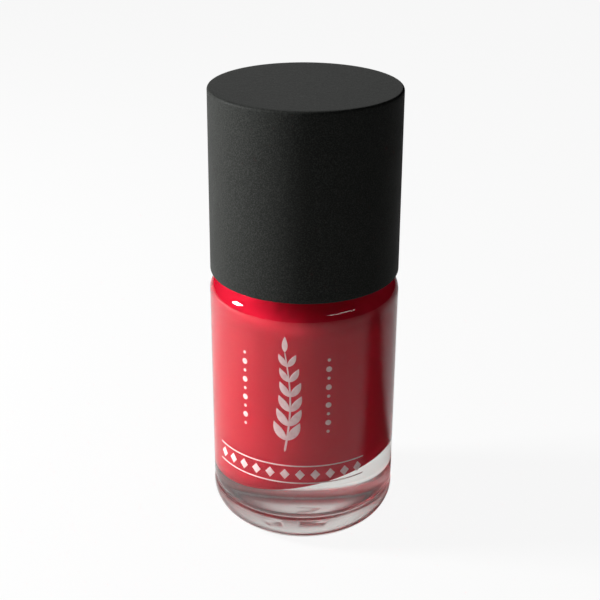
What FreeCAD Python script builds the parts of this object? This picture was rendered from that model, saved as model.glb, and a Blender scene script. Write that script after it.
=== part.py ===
import FreeCAD, Part
import math
import os

# A small round nail polish bottle with its brush cap, in millimetres, +Z up.
# The origin is the centre of the base, on the surface the bottle stands on.
# The printed front of the glass faces -Y.

# Glass body
body_radius = 12.1
body_height = 34.4            # base to the flat of the shoulder
side_wall = 2.4
shoulder_wall = 2.2
heel_round = 4.0
shoulder_round = 2.2
base_thickness = 7.2          # base to the cavity floor, on the axis
floor_slope_x = 0.237         # rise of the cavity floor for each mm towards +X
floor_slope_y = -0.08         # and for each mm towards +Y
floor_fillet = 2.5
inner_shoulder_round = 3.0
push_up_radius = 7.4          # hollow under the base, inside the bearing ring
push_up_height = 0.4

# Glass neck
neck_radius = 5.7
neck_height = 11.0
neck_bore_radius = 3.4
neck_root_round = 0.8
lip_round = 0.4
bore_root_round = 0.8

# Screw thread of one start, right-handed, shared by the neck and the cap
thread_pitch = 2.117
thread_depth = 0.8
thread_root_share = 0.62      # width of the ridge at its root, as a share of the pitch
thread_crest_share = 0.24     # and at its crest
neck_thread_turns = 1.5
cap_thread_turns = 1.25
neck_thread_rise = 2.9        # shoulder to the middle of the ridge at its start
cap_thread_lead = 0.2         # lower edge of the inner cap to the foot of its ridge
thread_start_angle = 20.0
thread_bite = 0.2             # how deep the root of a ridge is sunk in its wall
thread_side_play = 0.15
thread_crest_play = 0.2

# Polish
headspace = 4.2               # air between the liquid and the roof of the cavity
film_thickness = 0.35         # polish clinging to the glass above the liquid
film_edge = 0.3               # how far that film stops short of the rounded bore

# Mixing balls
ball_radius = 1.985
ball_gap = 0.15               # polish between a ball and the glass or the other ball

# Brush
stem_radius = 1.4
stem_top_radius = 1.55
stem_end_round = 0.3
bristle_length = 13.0         # free length below the stem
bristle_radius = 1.7          # widest, where the wet tuft swells
bristle_swell = 8.0           # tip to the widest place
bristle_tip_radius = 0.55
tuft_socket_radius = 0.95
tuft_socket_depth = 3.5
tip_gap = 1.6                 # tip of the tuft to the cavity floor, on the axis
brush_clearance = 0.3         # round the brush, to the polish
seal_flange_thickness = 0.8
seal_flange_inset = 0.3       # flange edge inside the neck's outside
plug_radius = 2.0
plug_height = 3.6
plug_chamfer = 0.4
snap_bead = 0.25              # how far the bead stands out of the plug
snap_bead_height = 0.8
snap_bead_rise = 1.6          # top of the flange to the middle of the bead
staple_width = 2.2
staple_thickness = 0.25
staple_height = 1.2
staple_drop = 0.6             # end of the tuft socket to the top of the staple

# Gasket
gasket_thickness = 0.8
gasket_hole_clearance = 0.2
gasket_side_clearance = 0.5

# Inner cap
skirt_wall = 1.1
closure_plate = 1.2
socket_play = 0.06            # running fit of the plug in its socket
socket_end_gap = 0.2
socket_wall = 1.0
socket_roof = 1.0
inner_cap_recess = 0.4        # inner cap above the overcap's lower edge
seat_ring_thickness = 1.0
rib_count = 12
rib_thickness = 1.0
rib_overlap = 0.3             # how deep a rib's root is sunk in the skirt and the socket

# Overcap
cap_gap = 0.6                 # shoulder of the glass to the lower edge of the overcap
overcap_inset = 0.1           # side of the overcap inside the side of the glass
overcap_draft = 0.12          # how much narrower the overcap is at its top
overcap_wall = 1.2
overcap_top = 2.0
overcap_headroom = 4.7        # socket of the inner cap to the underside of the top
overcap_top_round = 0.35
overcap_rim_round = 0.25

# Heights and radii that follow from the sizes above
inner_radius = body_radius - side_wall
cavity_top = body_height - shoulder_wall
neck_top = body_height + neck_height
liquid_top = cavity_top - headspace
thread_radius = neck_radius + thread_depth
closure_radius = thread_radius + thread_crest_play
tip_height = base_thickness + tip_gap
stem_end = tip_height + bristle_length
flange_bottom = neck_top + gasket_thickness
flange_top = flange_bottom + seal_flange_thickness
plug_top = flange_top + plug_height
overcap_bottom = body_height + cap_gap
overcap_radius = body_radius - overcap_inset
inner_cap_bottom = overcap_bottom + inner_cap_recess
plate_top = flange_top + closure_plate
skirt_radius = closure_radius + skirt_wall
socket_radius = plug_radius + socket_play
socket_outer_radius = socket_radius + socket_wall
socket_end = plug_top + socket_end_gap
socket_top = socket_end + socket_roof
overcap_inner_radius = overcap_radius - overcap_wall
overcap_roof = socket_top + overcap_headroom
overcap_height = overcap_roof + overcap_top

origin = FreeCAD.Vector(0, 0, 0)
up = FreeCAD.Vector(0, 0, 1)


def outline(corners):
    # Closed outline in the XZ plane. Each corner is (radius, height, round), and a round above
    # zero turns the corner into an arc that touches both of its sides.
    points = [FreeCAD.Vector(radius, 0, height) for radius, height, _ in corners]
    turns = []
    for i, corner in enumerate(points):
        corner_round = corners[i][2]
        back = (points[i - 1] - corner).normalize()
        ahead = (points[(i + 1) % len(points)] - corner).normalize()
        if corner_round > 0:
            half_angle = back.getAngle(ahead) / 2
            reach = corner_round / math.tan(half_angle)
            depth = corner_round / math.sin(half_angle) - corner_round
            middle = corner + (back + ahead).normalize() * depth
            turns.append((corner + back * reach, middle, corner + ahead * reach))
        else:
            turns.append((corner, None, corner))
    edges = []
    for i, (start, middle, end) in enumerate(turns):
        if middle:
            edges.append(Part.Arc(start, middle, end).toShape())
        edges.append(Part.makeLine(end, turns[(i + 1) % len(turns)][0]))
    return Part.Wire(edges)


def turned(corners):
    # Solid of revolution about the bottle's axis.
    return Part.Face(outline(corners)).revolve(origin, up, 360)


def ridge_half_width(radius):
    # Half the width of the neck's ridge, which narrows evenly from its root to its crest.
    share_out = (radius - neck_radius) / thread_depth
    width_share = thread_root_share + (thread_crest_share - thread_root_share) * share_out
    return width_share * thread_pitch / 2


def groove_half_width(radius):
    # Half the width of the cap's ridge, which fills the neck's groove less the side play.
    return thread_pitch / 2 - ridge_half_width(radius) - thread_side_play


def helical_ridge(root_radius, crest_radius, half_width, start_height, start_angle, turn_count):
    # A ridge of four-sided section swept along a right-handed helix.
    root = half_width(root_radius)
    crest = half_width(crest_radius)
    section = Part.makePolygon([
        FreeCAD.Vector(root_radius, 0, -root),
        FreeCAD.Vector(crest_radius, 0, -crest),
        FreeCAD.Vector(crest_radius, 0, crest),
        FreeCAD.Vector(root_radius, 0, root),
        FreeCAD.Vector(root_radius, 0, -root),
    ])
    helix = Part.makeHelix(thread_pitch, thread_pitch * turn_count, root_radius)
    ridge = Part.Wire(helix.Edges).makePipeShell([section], True, True)
    ridge.rotate(origin, up, start_angle)
    ridge.translate(FreeCAD.Vector(0, 0, start_height))
    return ridge


def cavity():
    # Inside of the glass: a straight bore, a rounded roof, the neck's bore, and a floor that
    # leans to one side, as a pressed and blown base often does.
    lean = inner_radius * (abs(floor_slope_x) + abs(floor_slope_y))
    below = base_thickness - lean
    above = neck_top + neck_root_round
    hollow = turned([
        (0, below, 0),
        (inner_radius, below, 0),
        (inner_radius, cavity_top, inner_shoulder_round),
        (neck_bore_radius, cavity_top, bore_root_round),
        (neck_bore_radius, above, 0),
        (0, above, 0),
    ])
    floor_point = FreeCAD.Vector(0, 0, base_thickness)
    downhill = FreeCAD.Vector(floor_slope_x, floor_slope_y, -1)
    floor_block = Part.makeCylinder(2 * body_radius, body_height, floor_point, downhill)
    hollow = hollow.cut(floor_block)
    floor_edges = [edge for edge in hollow.Edges if isinstance(edge.Curve, Part.Ellipse)]
    return hollow.makeFillet(floor_fillet, floor_edges)


def glass_bottle():
    outside = turned([
        (0, 0, 0),
        (body_radius, 0, heel_round),
        (body_radius, body_height, shoulder_round),
        (neck_radius, body_height, neck_root_round),
        (neck_radius, neck_top, lip_round),
        (0, neck_top, 0),
    ])
    dome_radius = (push_up_radius ** 2 + push_up_height ** 2) / (2 * push_up_height)
    dome = Part.makeSphere(dome_radius, FreeCAD.Vector(0, 0, push_up_height - dome_radius))
    ridge = helical_ridge(
        neck_radius - thread_bite, thread_radius, ridge_half_width,
        body_height + neck_thread_rise, thread_start_angle, neck_thread_turns)
    return outside.fuse(ridge).cut(cavity()).cut(dome)


def ball_centres():
    # The two balls lie side by side where the floor is lowest.
    corner = max(floor_fillet, ball_radius + ball_gap)
    reach = inner_radius - corner
    low_side = math.atan2(-floor_slope_y, -floor_slope_x)
    apart = math.asin((ball_radius + ball_gap / 2) / reach)
    steepness = math.sqrt(1 + floor_slope_x ** 2 + floor_slope_y ** 2)
    centres = []
    for angle in (low_side - apart, low_side + apart):
        x = reach * math.cos(angle)
        y = reach * math.sin(angle)
        floor = base_thickness + floor_slope_x * x + floor_slope_y * y
        centres.append(FreeCAD.Vector(x, y, floor + (ball_radius + ball_gap) * steepness))
    return centres


def nail_polish():
    # The liquid, and the film that it leaves on the glass above it.
    film_radius = inner_radius - film_thickness
    film_roof = cavity_top - film_thickness
    film_hole = neck_bore_radius + bore_root_round + film_edge
    air = turned([
        (0, liquid_top, 0),
        (film_radius, liquid_top, 0),
        (film_radius, film_roof, inner_shoulder_round - film_thickness),
        (film_hole, film_roof, 0),
        (film_hole, neck_top + neck_height, 0),
        (0, neck_top + neck_height, 0),
    ])
    well_radius = bristle_radius + brush_clearance
    well_bottom = FreeCAD.Vector(0, 0, tip_height - brush_clearance)
    well = Part.makeCylinder(well_radius, body_height, well_bottom)
    liquid = cavity().cut(air).cut(well)
    for centre in ball_centres():
        liquid = liquid.cut(Part.makeSphere(ball_radius, centre))
    return liquid


def neck_gasket():
    hole = bristle_radius + gasket_hole_clearance
    rim = closure_radius - gasket_side_clearance
    return turned([
        (hole, neck_top, 0),
        (rim, neck_top, 0),
        (rim, flange_bottom, 0),
        (hole, flange_bottom, 0),
    ])


def staple():
    # Flat metal anchor that the folded tuft is driven in with.
    top = stem_end + tuft_socket_depth - staple_drop
    plate = Part.makeBox(staple_width, staple_thickness, staple_height)
    plate.translate(FreeCAD.Vector(-staple_width / 2, -staple_thickness / 2, top - staple_height))
    return plate


def brush_stem():
    # Stem, sealing flange and snap plug, moulded in one.
    flange_radius = neck_radius - seal_flange_inset
    bead_middle = flange_top + snap_bead_rise
    bead_half = snap_bead_height / 2
    tuft_end = stem_end + tuft_socket_depth
    stem = turned([
        (0, tuft_end, 0),
        (tuft_socket_radius, tuft_end, 0),
        (tuft_socket_radius, stem_end, 0),
        (stem_radius, stem_end, stem_end_round),
        (stem_top_radius, flange_bottom, 0),
        (flange_radius, flange_bottom, 0),
        (flange_radius, flange_top, 0),
        (plug_radius, flange_top, 0),
        (plug_radius, bead_middle - bead_half, 0),
        (plug_radius + snap_bead, bead_middle, 0),
        (plug_radius, bead_middle + bead_half, 0),
        (plug_radius, plug_top - plug_chamfer, 0),
        (plug_radius - plug_chamfer, plug_top, 0),
        (0, plug_top, 0),
    ])
    return stem.cut(staple())


def brush_bristles():
    # The wet tuft as one closed body: a root in the socket, a swell, and a rounded tip.
    swell_height = tip_height + bristle_swell
    tip_middle = FreeCAD.Vector(bristle_tip_radius / math.sqrt(2), 0,
                                tip_height + bristle_tip_radius * (1 - 1 / math.sqrt(2)))
    side = Part.BSplineCurve()
    side.interpolate([
        FreeCAD.Vector(bristle_tip_radius, 0, tip_height + bristle_tip_radius),
        FreeCAD.Vector(bristle_radius, 0, swell_height),
        FreeCAD.Vector(tuft_socket_radius, 0, stem_end),
    ])
    tip = FreeCAD.Vector(0, 0, tip_height)
    tip_side = FreeCAD.Vector(bristle_tip_radius, 0, tip_height + bristle_tip_radius)
    mouth = FreeCAD.Vector(tuft_socket_radius, 0, stem_end)
    root_edge = FreeCAD.Vector(tuft_socket_radius, 0, stem_end + tuft_socket_depth)
    root_centre = FreeCAD.Vector(0, 0, stem_end + tuft_socket_depth)
    section = Part.Wire([
        Part.Arc(tip, tip_middle, tip_side).toShape(),
        side.toShape(),
        Part.makeLine(mouth, root_edge),
        Part.makeLine(root_edge, root_centre),
        Part.makeLine(root_centre, tip),
    ])
    tuft = Part.Face(section).revolve(origin, up, 360)
    return tuft.cut(staple())


def inner_cap():
    # Threaded closure with the brush socket on its plate, a seat ring at its foot and ribs
    # that carry the overcap.
    bead_middle = flange_top + snap_bead_rise
    bead_half = snap_bead_height / 2
    shell = turned([
        (closure_radius, inner_cap_bottom, 0),
        (overcap_inner_radius, inner_cap_bottom, 0),
        (overcap_inner_radius, inner_cap_bottom + seat_ring_thickness, 0),
        (skirt_radius, inner_cap_bottom + seat_ring_thickness, 0),
        (skirt_radius, plate_top, 0),
        (socket_outer_radius, plate_top, 0),
        (socket_outer_radius, socket_top, 0),
        (0, socket_top, 0),
        (0, socket_end, 0),
        (socket_radius, socket_end, 0),
        (socket_radius, bead_middle + bead_half, 0),
        (socket_radius + snap_bead, bead_middle, 0),
        (socket_radius, bead_middle - bead_half, 0),
        (socket_radius, flange_top, 0),
        (closure_radius, flange_top, 0),
    ])
    skirt_root = skirt_radius - rib_overlap
    socket_root = socket_outer_radius - rib_overlap
    ring_root = inner_cap_bottom + seat_ring_thickness / 2
    plate_root = plate_top - closure_plate / 2
    rib_face = Part.Face(Part.makePolygon([
        FreeCAD.Vector(skirt_root, -rib_thickness / 2, ring_root),
        FreeCAD.Vector(overcap_radius, -rib_thickness / 2, ring_root),
        FreeCAD.Vector(overcap_radius, -rib_thickness / 2, overcap_roof),
        FreeCAD.Vector(socket_root, -rib_thickness / 2, overcap_roof),
        FreeCAD.Vector(socket_root, -rib_thickness / 2, plate_root),
        FreeCAD.Vector(skirt_root, -rib_thickness / 2, plate_root),
        FreeCAD.Vector(skirt_root, -rib_thickness / 2, ring_root),
    ]))
    rib = rib_face.extrude(FreeCAD.Vector(0, rib_thickness, 0))
    bore = Part.makeCylinder(overcap_inner_radius, overcap_roof)
    rib = rib.common(bore)
    for i in range(rib_count):
        turned_rib = rib.copy()
        turned_rib.rotate(origin, up, 360 * (i + 0.5) / rib_count)
        shell = shell.fuse(turned_rib)
    ridge_root = closure_radius + thread_bite
    start_height = inner_cap_bottom + cap_thread_lead + groove_half_width(ridge_root)
    # The cap's ridge starts where its own height puts it in the middle of the neck's groove.
    rise = start_height - (body_height + neck_thread_rise) + thread_pitch / 2
    start_angle = thread_start_angle + 360 * rise / thread_pitch
    ridge = helical_ridge(
        ridge_root, neck_radius + thread_crest_play, groove_half_width,
        start_height, start_angle, cap_thread_turns)
    return shell.fuse(ridge)


def overcap():
    return turned([
        (overcap_inner_radius, overcap_bottom, 0),
        (overcap_radius, overcap_bottom, overcap_rim_round),
        (overcap_radius - overcap_draft, overcap_height, overcap_top_round),
        (0, overcap_height, 0),
        (0, overcap_roof, 0),
        (overcap_inner_radius, overcap_roof, 0),
    ])


def save(name, shape):
    shape.exportStep("parts/" + name + ".step")


os.makedirs("parts", exist_ok=True)
save("glass_bottle", glass_bottle())
save("nail_polish", nail_polish())
for number, centre in enumerate(ball_centres(), start=1):
    save("mixing_ball_" + str(number), Part.makeSphere(ball_radius, centre))
save("neck_gasket", neck_gasket())
save("brush_stem", brush_stem())
save("bristle_staple", staple())
save("brush_bristles", brush_bristles())
save("inner_cap", inner_cap())
save("overcap", overcap())
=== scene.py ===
import math

import bmesh
import bpy
import numpy as np
from mathutils import Matrix, Vector


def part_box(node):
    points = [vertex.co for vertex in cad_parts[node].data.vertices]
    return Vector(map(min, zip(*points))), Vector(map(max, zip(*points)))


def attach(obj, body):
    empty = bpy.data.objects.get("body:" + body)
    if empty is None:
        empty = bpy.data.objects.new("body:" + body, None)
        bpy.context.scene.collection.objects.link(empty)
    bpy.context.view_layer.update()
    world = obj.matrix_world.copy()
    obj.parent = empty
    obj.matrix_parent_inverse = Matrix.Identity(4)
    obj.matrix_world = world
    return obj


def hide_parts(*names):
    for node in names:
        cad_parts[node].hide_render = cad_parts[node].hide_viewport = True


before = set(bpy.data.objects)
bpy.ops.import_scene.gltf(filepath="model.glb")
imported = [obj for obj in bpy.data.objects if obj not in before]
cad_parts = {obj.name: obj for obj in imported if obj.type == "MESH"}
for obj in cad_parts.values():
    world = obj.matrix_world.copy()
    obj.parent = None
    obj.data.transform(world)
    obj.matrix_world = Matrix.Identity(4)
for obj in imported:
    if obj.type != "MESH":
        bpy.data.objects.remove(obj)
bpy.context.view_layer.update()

mm = 0.001
touching = 0.001 * mm  # two points nearer than this count as one
tiny = 1e-9
scene = bpy.context.scene
rng = np.random.default_rng(7)


# What the frame says, in metres.
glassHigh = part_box("glass_bottle")[1]
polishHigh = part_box("nail_polish")[1]
gasketLow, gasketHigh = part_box("neck_gasket")
stemLow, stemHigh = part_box("brush_stem")
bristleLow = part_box("brush_bristles")[0]
innerCapLow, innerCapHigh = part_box("inner_cap")
capLow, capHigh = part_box("overcap")
bodyRadius = glassHigh[0]
neckTop = glassHigh[2]
innerRadius = polishHigh[0]
cavityTop = polishHigh[2]
capRadius = capHigh[0]
capInnerRadius = innerCapHigh[0]
stemEnd = stemLow[2]
plugTop = stemHigh[2]
tipHeight = bristleLow[2]


# Shapes as whole arrays.
# Points of an arc: centre plus radius times (cosine, sine) of count evenly spaced angles.
def arcRun(centre, radius, startDegrees, endDegrees, count):
    angle = np.radians(np.linspace(startDegrees, endDegrees, count))
    return np.stack([centre[0] + radius * np.cos(angle), centre[1] + radius * np.sin(angle)], -1)


# Points of a straight run: count evenly spaced mixes of its two ends.
def lineRun(start, end, count):
    share = np.linspace(0, 1, count)[:, None]
    return np.array(start) * (1 - share) + np.array(end) * share


# Runs laid end to end, less each point that repeats the one before it.
def joinRuns(*runs):
    path = np.concatenate(runs)
    step = np.linalg.norm(np.diff(path, axis=0), axis=1)
    return path[np.concatenate([[True], step > touching / 10])]


# Rises from 0 to 1 between two values, as 3t^2 - 2t^3.
def smoothStep(low, high, value):
    share = np.clip((value - low) / (high - low), 0, 1)
    return share * share * (3 - 2 * share)


# Angles of a full turn's columns.
def ringAngles(segments):
    return np.linspace(0, 2 * np.pi, segments, endpoint=False)


# A profile of (radius, height) turned about Z: each point becomes a ring of
# (radius cos a, radius sin a, height) over evenly spaced angles a.
def turnProfile(profile, segments):
    angle = ringAngles(segments)
    radius = profile[:, 0][:, None]
    height = np.repeat(profile[:, 1][:, None], segments, axis=1)
    return radius * np.cos(angle), radius * np.sin(angle), height


# Quads between neighbours of a grid of points, wrapped across its columns unless told not to
# (and across its rows when rowsWrap), with triangles where a row meets in one point. Returns
# points, quads and triangles.
def gridFaces(grid, rowsWrap=False, columnsWrap=True):
    rows, columns = grid.shape[:2]
    index = np.arange(rows * columns).reshape(rows, columns)
    isPoint = np.ptp(grid, axis=1).max(axis=1) < tiny
    index[isPoint] = index[isPoint][:, :1]
    below = np.roll(index, -1, axis=0)
    if not rowsWrap:
        index, below = index[:-1], below[:-1]
    quads = np.stack([index, np.roll(index, -1, axis=1), np.roll(below, -1, axis=1), below], -1)
    if not columnsWrap:
        quads = quads[:, :-1]
    quads = quads.reshape(-1, 4)
    startPoint = quads[:, 0] == quads[:, 1]
    endPoint = quads[:, 2] == quads[:, 3]
    whole = quads[~startPoint & ~endPoint]
    atStart = quads[startPoint & ~endPoint][:, [0, 2, 3]]
    atEnd = quads[endPoint & ~startPoint][:, [0, 1, 2]]
    return grid.reshape(-1, 3), whole, np.concatenate([atStart, atEnd])


# One smooth mesh from several (points, quads, triangles) sets, with unused points dropped.
def buildMesh(name, sets):
    points, faces, offset = [], [], 0
    for setPoints, quads, threes in sets:
        points.append(setPoints)
        faces += (quads + offset).tolist() + (threes + offset).tolist()
        offset += len(setPoints)
    mesh = bpy.data.meshes.new(name)
    mesh.from_pydata(np.concatenate(points).tolist(), [], faces)
    edit = bmesh.new()
    edit.from_mesh(mesh)
    loose = [vertex for vertex in edit.verts if not vertex.link_faces]
    bmesh.ops.delete(edit, geom=loose, context="VERTS")
    bmesh.ops.recalc_face_normals(edit, faces=edit.faces)
    edit.to_mesh(mesh)
    edit.free()
    mesh.shade_smooth()
    return mesh


# A finished piece: its mesh from sets of faces, its materials, the body it rides on, a slot name
# that is not used, and the CAD nodes it stands for.
def addPiece(name, sets, materials, body, slotName, *nodes):
    mesh = buildMesh(name, sets)
    piece = bpy.data.objects.new(name, mesh)
    scene.collection.objects.link(piece)
    for material in materials:
        mesh.materials.append(material)
    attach(piece, body)
    if nodes:
        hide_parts(*nodes)
    return mesh


# Materials.
noiseSpan = (0.3, 0.7)  # where nearly all of a noise's values lie


# A new material, its node tree, and its shader.
def newMaterial(name):
    material = bpy.data.materials.new(name)
    material.use_nodes = True
    tree = material.node_tree
    return material, tree, tree.nodes["Principled BSDF"]


# A noise pattern on Object coordinates, stretched by scale along each axis.
def addNoise(tree, scale, detail=3.0, stretch=(1, 1, 1)):
    place = tree.nodes.new("ShaderNodeTexCoord")
    turn = tree.nodes.new("ShaderNodeMapping")
    turn.inputs["Scale"].default_value = stretch
    noise = tree.nodes.new("ShaderNodeTexNoise")
    noise.inputs["Scale"].default_value = scale
    noise.inputs["Detail"].default_value = detail
    tree.links.new(place.outputs["Object"], turn.inputs["Vector"])
    tree.links.new(turn.outputs["Vector"], noise.inputs["Vector"])
    return noise.outputs["Fac"]


# A colour ramp of (place, colour) stops read by a value.
def addRamp(tree, value, stops):
    ramp = tree.nodes.new("ShaderNodeValToRGB")
    while len(ramp.color_ramp.elements) < len(stops):
        ramp.color_ramp.elements.new(0.5)
    for element, (place, colour) in zip(ramp.color_ramp.elements, stops):
        element.position = place
        element.color = (*colour, 1)
    tree.links.new(value, ramp.inputs["Fac"])
    return ramp.outputs["Color"]


# A straight map of a value from one range to another, held inside the second.
def addRange(tree, value, fromLow, fromHigh, toLow, toHigh):
    change = tree.nodes.new("ShaderNodeMapRange")
    places = ("From Min", "From Max", "To Min", "To Max")
    for place, number in zip(places, (fromLow, fromHigh, toLow, toHigh)):
        change.inputs[place].default_value = number
    tree.links.new(value, change.inputs["Value"])
    return change.outputs["Result"]


# Two numbers put together by a Math node's operation.
def addMath(tree, operation, first, second):
    joined = tree.nodes.new("ShaderNodeMath")
    joined.operation = operation
    tree.links.new(first, joined.inputs[0])
    tree.links.new(second, joined.inputs[1])
    return joined.outputs["Value"]


# Bumps of the given depth, in metres, chained one on another, into the shader's normal.
def addBumps(tree, shader, *heights):
    normal = None
    for height, depth in heights:
        bump = tree.nodes.new("ShaderNodeBump")
        bump.inputs["Strength"].default_value = 1.0
        bump.inputs["Distance"].default_value = depth
        tree.links.new(height, bump.inputs["Height"])
        if normal:
            tree.links.new(normal, bump.inputs["Normal"])
        normal = bump.outputs["Normal"]
    if normal:
        tree.links.new(normal, shader.inputs["Normal"])


# A value, read through a colour ramp, as the shader's base colour.
def colourBy(tree, shader, value, stops):
    tree.links.new(addRamp(tree, value, stops), shader.inputs["Base Color"])


# A noise as the shader's roughness, from low to high over the noise's usual span.
def roughenBy(tree, shader, noise, low, high):
    tree.links.new(addRange(tree, noise, *noiseSpan, low, high), shader.inputs["Roughness"])


glassLook = {
    "colours": [(0.3, (0.985, 0.98, 0.955)), (0.75, (0.97, 0.975, 0.945))],
    "cloudScale": 90.0,
    "bend": 1.52,  # index of refraction
    "smudge": 0.015,  # most that handling roughens it
    "smudgeScale": 260.0,
    "smudgeSpan": (0.45, 0.75),
    "ripple": 0.0015 * mm,
    "rippleScale": 400.0,
    "stipple": 0.3,  # roughness of the base, which the mould leaves matt
    "stippleTop": 0.5 * mm,  # how far up the heel that reaches
    "stippleFade": 0.5 * mm,
}


# Clear glass, as rough at each point as the greater of two things: smudges, where a noise is
# high, and the stipple, which falls in a straight line to nothing just above the base.
def makeGlass():
    material, tree, shader = newMaterial("clearGlass")
    shader.inputs["Transmission Weight"].default_value = 1.0
    shader.inputs["IOR"].default_value = glassLook["bend"]
    colourBy(tree, shader, addNoise(tree, glassLook["cloudScale"]), glassLook["colours"])
    smudgeNoise = addNoise(tree, glassLook["smudgeScale"])
    smudge = addRange(tree, smudgeNoise, *glassLook["smudgeSpan"], 0.0, glassLook["smudge"])
    place = tree.nodes.new("ShaderNodeTexCoord")
    parts = tree.nodes.new("ShaderNodeSeparateXYZ")
    tree.links.new(place.outputs["Object"], parts.inputs["Vector"])
    top = glassLook["stippleTop"]
    end = top + glassLook["stippleFade"]
    matt = addRange(tree, parts.outputs["Z"], top, end, glassLook["stipple"], 0.0)
    tree.links.new(addMath(tree, "MAXIMUM", smudge, matt), shader.inputs["Roughness"])
    addBumps(tree, shader, (addNoise(tree, glassLook["rippleScale"], detail=1.0), glassLook["ripple"]))
    return material


foamLook = {
    "colours": [(0.0, (0.86, 0.86, 0.84)), (0.9, (0.7, 0.7, 0.68))],
    "cellScale": 3200.0,
    "cellDepth": 0.03 * mm,
    "roughness": 0.85,
}


# Closed-cell foam: pale cells with darker walls, each cell a small dimple.
def makeFoam():
    material, tree, shader = newMaterial("whiteFoam")
    place = tree.nodes.new("ShaderNodeTexCoord")
    cells = tree.nodes.new("ShaderNodeTexVoronoi")
    cells.inputs["Scale"].default_value = foamLook["cellScale"]
    tree.links.new(place.outputs["Object"], cells.inputs["Vector"])
    colourBy(tree, shader, cells.outputs["Distance"], foamLook["colours"])
    shader.inputs["Roughness"].default_value = foamLook["roughness"]
    addBumps(tree, shader, (cells.outputs["Distance"], foamLook["cellDepth"]))
    return material


# A material from its look: a colour ramp read by the noise "colour", a roughness that follows the
# noise "roughness" or else that same one, bumps of some of its noises, and plain inputs.
def makeLook(name, look):
    material, tree, shader = newMaterial(name)
    noises = {key: addNoise(tree, *values) for key, values in look["noises"].items()}
    colourBy(tree, shader, noises["colour"], look["colours"])
    roughenBy(tree, shader, noises.get("roughness", noises["colour"]), *look["roughness"])
    addBumps(tree, shader, *[(noises[key], depth) for key, depth in look["bumps"].items()])
    for place, value in look["inputs"].items():
        shader.inputs[place].default_value = value
    return material


# In each look a noise is its scale, detail and stretch along the axes, and a bump is its depth.
# Polish: a slow cloud of two reds, and a roughness that varies with the pigment. It has no gloss
# of its own behind glass that it wets, and a clear coat where it faces the air.
polishLook = {
    "colours": [(0.3, (0.75, 0.013, 0.038)), (0.7, (0.82, 0.017, 0.048))],
    "roughness": (0.2975, 0.4025),
    "noises": {"colour": (60.0, 4.0, (1, 1, 0.35)), "roughness": (2200.0, 2.0)},
    "bumps": {},
    "inputs": {"Specular IOR Level": 0.0},
}
wetLook = {
    "roughness": (0.17, 0.23),
    "inputs": {"Specular IOR Level": 0.5, "Coat Weight": 1.0, "Coat Roughness": 0.06},
}
# Soft-touch paint: a fine grain of about 0.15 mm with paler flecks.
softBlackLook = {
    "colours": [(0.42, (0.016, 0.017, 0.0158)), (0.72, (0.037, 0.039, 0.036))],
    "roughness": (0.52, 0.62),
    "noises": {"colour": (6800.0, 2.0), "roughness": (180.0, 4.0), "dimples": (1500.0, 2.0)},
    "bumps": {"colour": 0.016 * mm, "dimples": 0.016 * mm},
    "inputs": {"Specular IOR Level": 0.06, "Sheen Weight": 0.055, "Sheen Roughness": 0.4},
}
# Moulded plastic: flow marks along the draw, and a fine spark texture.
closureLook = {
    "colours": [(0.35, (0.018, 0.018, 0.018)), (0.7, (0.028, 0.028, 0.028))],
    "roughness": (0.34, 0.48),
    "noises": {"colour": (300.0, 3.0, (1, 1, 0.2)), "roughness": (900.0, 3.0), "spark": (3500.0, 2.0)},
    "bumps": {"spark": 0.004 * mm, "colour": 0.006 * mm},
    "inputs": {},
}
stemLook = {
    "colours": [(0.35, (0.022, 0.022, 0.022)), (0.7, (0.035, 0.034, 0.034))],
    "roughness": (0.272, 0.384),
}
# Metal: fine scratches drawn out along one axis.
steelLook = {
    "colours": [(0.35, (0.6, 0.6, 0.6)), (0.65, (0.72, 0.72, 0.71))],
    "roughness": (0.098, 0.196),
    "noises": {"colour": (2500.0, 4.0, (0.15, 1, 1))},
    "bumps": {"colour": 0.002 * mm},
    "inputs": {"Metallic": 1.0},
}
wireLook = {
    "colours": [(0.35, (0.5, 0.47, 0.4)), (0.65, (0.66, 0.62, 0.52))],
    "roughness": (0.21, 0.42),
}
# Silkscreen ink: pale pink, a little uneven in cover, with a mesh-fine surface.
inkLook = {
    "colours": [(0.3, (0.82, 0.50, 0.51)), (0.6, (0.92, 0.66, 0.66))],
    "roughness": (0.35, 0.5),
    "noises": {"colour": (1400.0, 3.0), "mesh": (6000.0, 1.0)},
    "bumps": {"mesh": 0.004 * mm},
    "inputs": {},
}
# Nylon filament: dark, with paler stretches along its length.
nylonLook = {
    "colours": [(0.35, (0.03, 0.026, 0.024)), (0.7, (0.1, 0.085, 0.075))],
    "roughness": (0.25, 0.4),
    "noises": {"colour": (2600.0, 2.0, (1, 1, 0.08))},
    "bumps": {},
    "inputs": {},
}


clearGlass = makeGlass()
polishBody = makeLook("polishBehindGlass", polishLook)
polishWet = makeLook("polishWet", {**polishLook, **wetLook})
softBlack = makeLook("softBlack", softBlackLook)
closurePlastic = makeLook("closurePlastic", closureLook)
stemPlastic = makeLook("stemPlastic", {**closureLook, **stemLook})
whiteFoam = makeFoam()
polishedSteel = makeLook("polishedSteel", steelLook)
stapleWire = makeLook("stapleWire", {**steelLook, **wireLook})
screenInk = makeLook("screenInk", inkLook)
bristleNylon = makeLook("bristleNylon", nylonLook)
print("materials made")


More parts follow.
